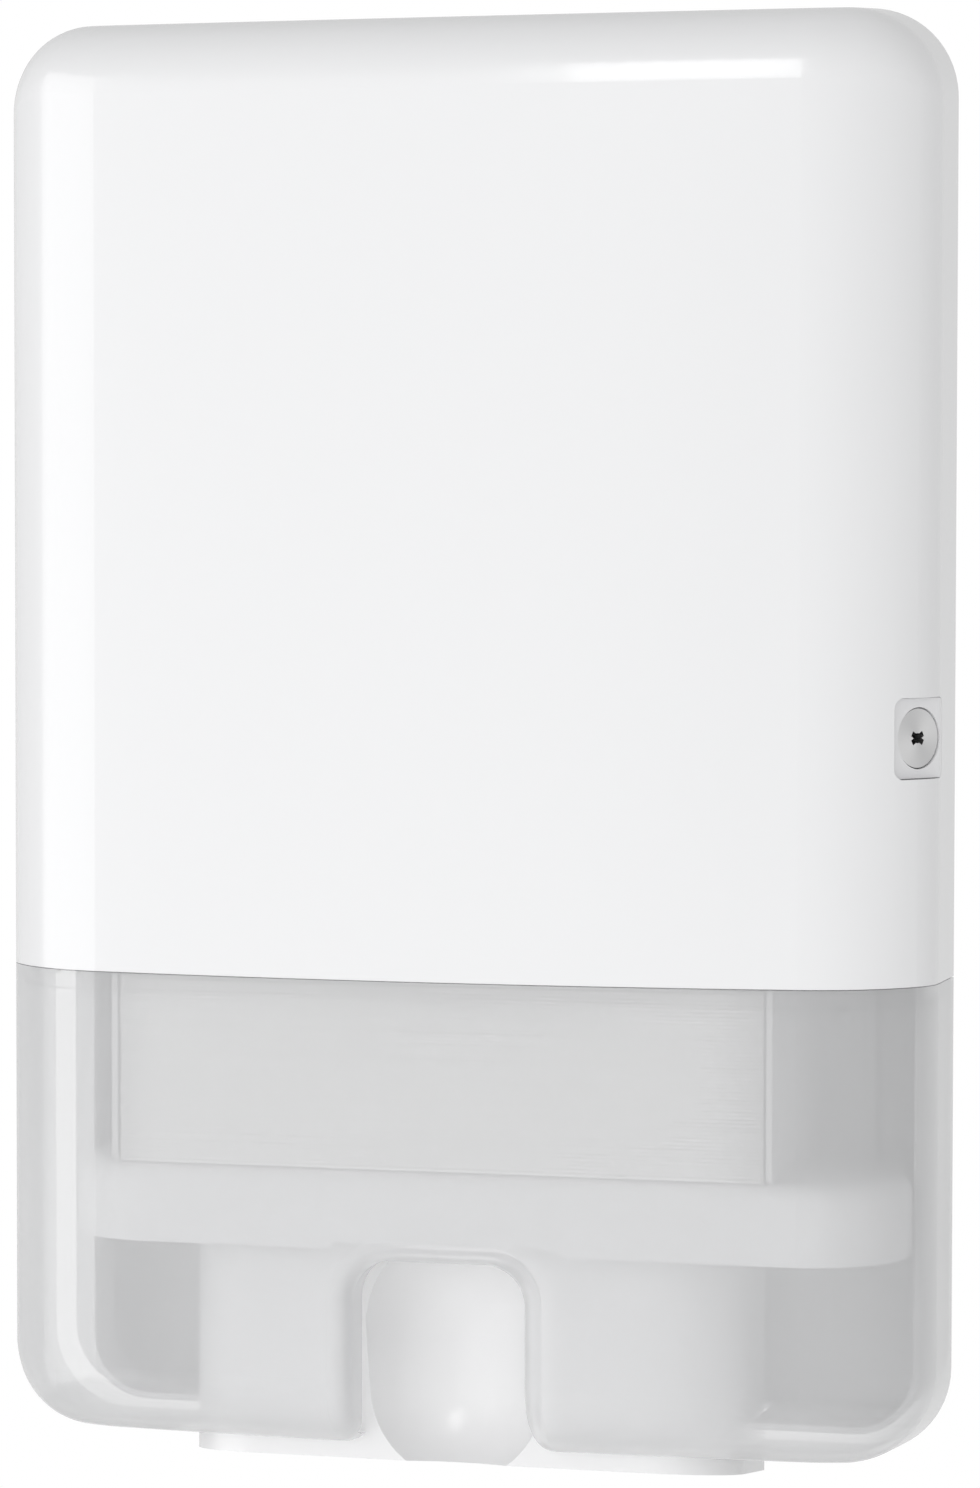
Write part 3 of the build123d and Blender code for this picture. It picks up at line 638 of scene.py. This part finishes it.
make_towels()
make_screws("guide_screws", (0, -1, 0), "frame")
make_screws("tray_screws", (0, -1, 0), "frame")
make_screws("nozzle_screws", (0, 0, -1), "frame")
make_screws("strike_screws", (-1, 0, 0), "frame")
make_screws("hinge_screws", (1, 0, 0), "cover")
make_screws("cam_screw", (-math.sin(lock_turn), math.cos(lock_turn), 0), "lock")


# Studio

def direction(azimuth, elevation):
    """Unit vector out from the dispenser: azimuth to its right, elevation upwards, in degrees."""
    turn, lift = math.radians(azimuth), math.radians(elevation)
    return Vector((
        math.sin(turn) * math.cos(lift),
        -math.cos(turn) * math.cos(lift),
        math.sin(lift),
    ))


def make_floor():
    """Pale floor well below the dispenser."""
    tree, shader = blank_finish("studio_floor")
    set_shader(
        shader,
        Base_Color=(0.86, 0.86, 0.86, 1),
        Roughness=0.9,
        Emission_Color=(1, 1, 1, 1),
    )
    glow = arithmetic(tree, "MULTIPLY", seen_directly(tree), floor_glow)
    feed(tree, glow, shader, "Emission Strength")
    mesh = bmesh.new()
    bmesh.ops.create_grid(mesh, x_segments=1, y_segments=1, size=floor_half)
    bmesh.ops.translate(mesh, verts=mesh.verts, vec=(0, 0, floor_height))
    floor = placed("floor", mesh, "studio_floor")


def make_world():
    """White surroundings that light the dispenser softly."""
    world = bpy.data.worlds.new("studio")
    world.use_nodes = True
    bpy.context.scene.world = world
    tree = world.node_tree
    sky = tree.nodes["Background"]
    feed(tree, (1, 1, 1, 1), sky, "Color")
    heading = add_node(tree, "ShaderNodeTexCoord")
    rise = parts_of(tree, heading.outputs["Generated"])["Z"]
    ambient = arithmetic(tree, "MULTIPLY_ADD", rise, ambient_rise, ambient_level)
    feed(tree, between(tree, seen_directly(tree), ambient, 1.0), sky, "Strength")


def softbox(name, azimuth, elevation, distance, size, watts, in_gloss):
    """Area lamp that faces the dispenser: it counts either in reflections or as plain light."""
    lamp = bpy.data.lights.new(name, "AREA")
    lamp.shape = "RECTANGLE"
    lamp.size, lamp.size_y = size
    lamp.energy = watts
    lit = bpy.data.objects.new(name, lamp)
    lit.location = distance * direction(azimuth, elevation)
    lit.rotation_euler = lit.location.to_track_quat("Z", "Y").to_euler()
    lit.visible_glossy = in_gloss
    lit.visible_diffuse = not in_gloss
    lit.visible_camera = False
    bpy.context.scene.collection.objects.link(lit)


def make_camera():
    """Camera at the photograph's viewing angle: turned, raised and rolled about its aim."""
    roll = math.radians(camera_roll)
    back = direction(camera_turn, camera_lift)
    level = direction(camera_turn + 90, 0)
    above = back.cross(level)
    across = level * math.cos(roll) + above * math.sin(roll)
    up = above * math.cos(roll) - level * math.sin(roll)
    target = camera_aim + level * camera_aside
    lens = bpy.data.cameras.new("camera")
    lens.sensor_fit = "AUTO"  # the sensor's width spans the picture's longer side, its height
    lens.sensor_width = sensor_width
    lens.lens = picture_scale * camera_distance / picture_height * sensor_width
    lens.clip_end = 50
    camera = bpy.data.objects.new("camera", lens)
    turned = Matrix((across, up, back)).transposed().to_4x4()
    camera.matrix_world = Matrix.Translation(target + back * camera_distance) @ turned
    bpy.context.scene.collection.objects.link(camera)
    bpy.context.scene.camera = camera


make_floor()
make_world()
softbox("key", -18, 8, distance=3.0, size=(2.0, 2.0), watts=29, in_gloss=False)
softbox("left_strip", -60.3, -3, distance=1.6, size=(1.38, 2.2), watts=16, in_gloss=True)
softbox("under_fill", 10, -60, distance=0.80, size=(0.9, 0.9), watts=1.3, in_gloss=False)
softbox("upper_strip", 0, 27, distance=1.8, size=(0.44, 0.70), watts=4, in_gloss=True)
make_camera()
bpy.context.scene.view_settings.view_transform = "Standard"
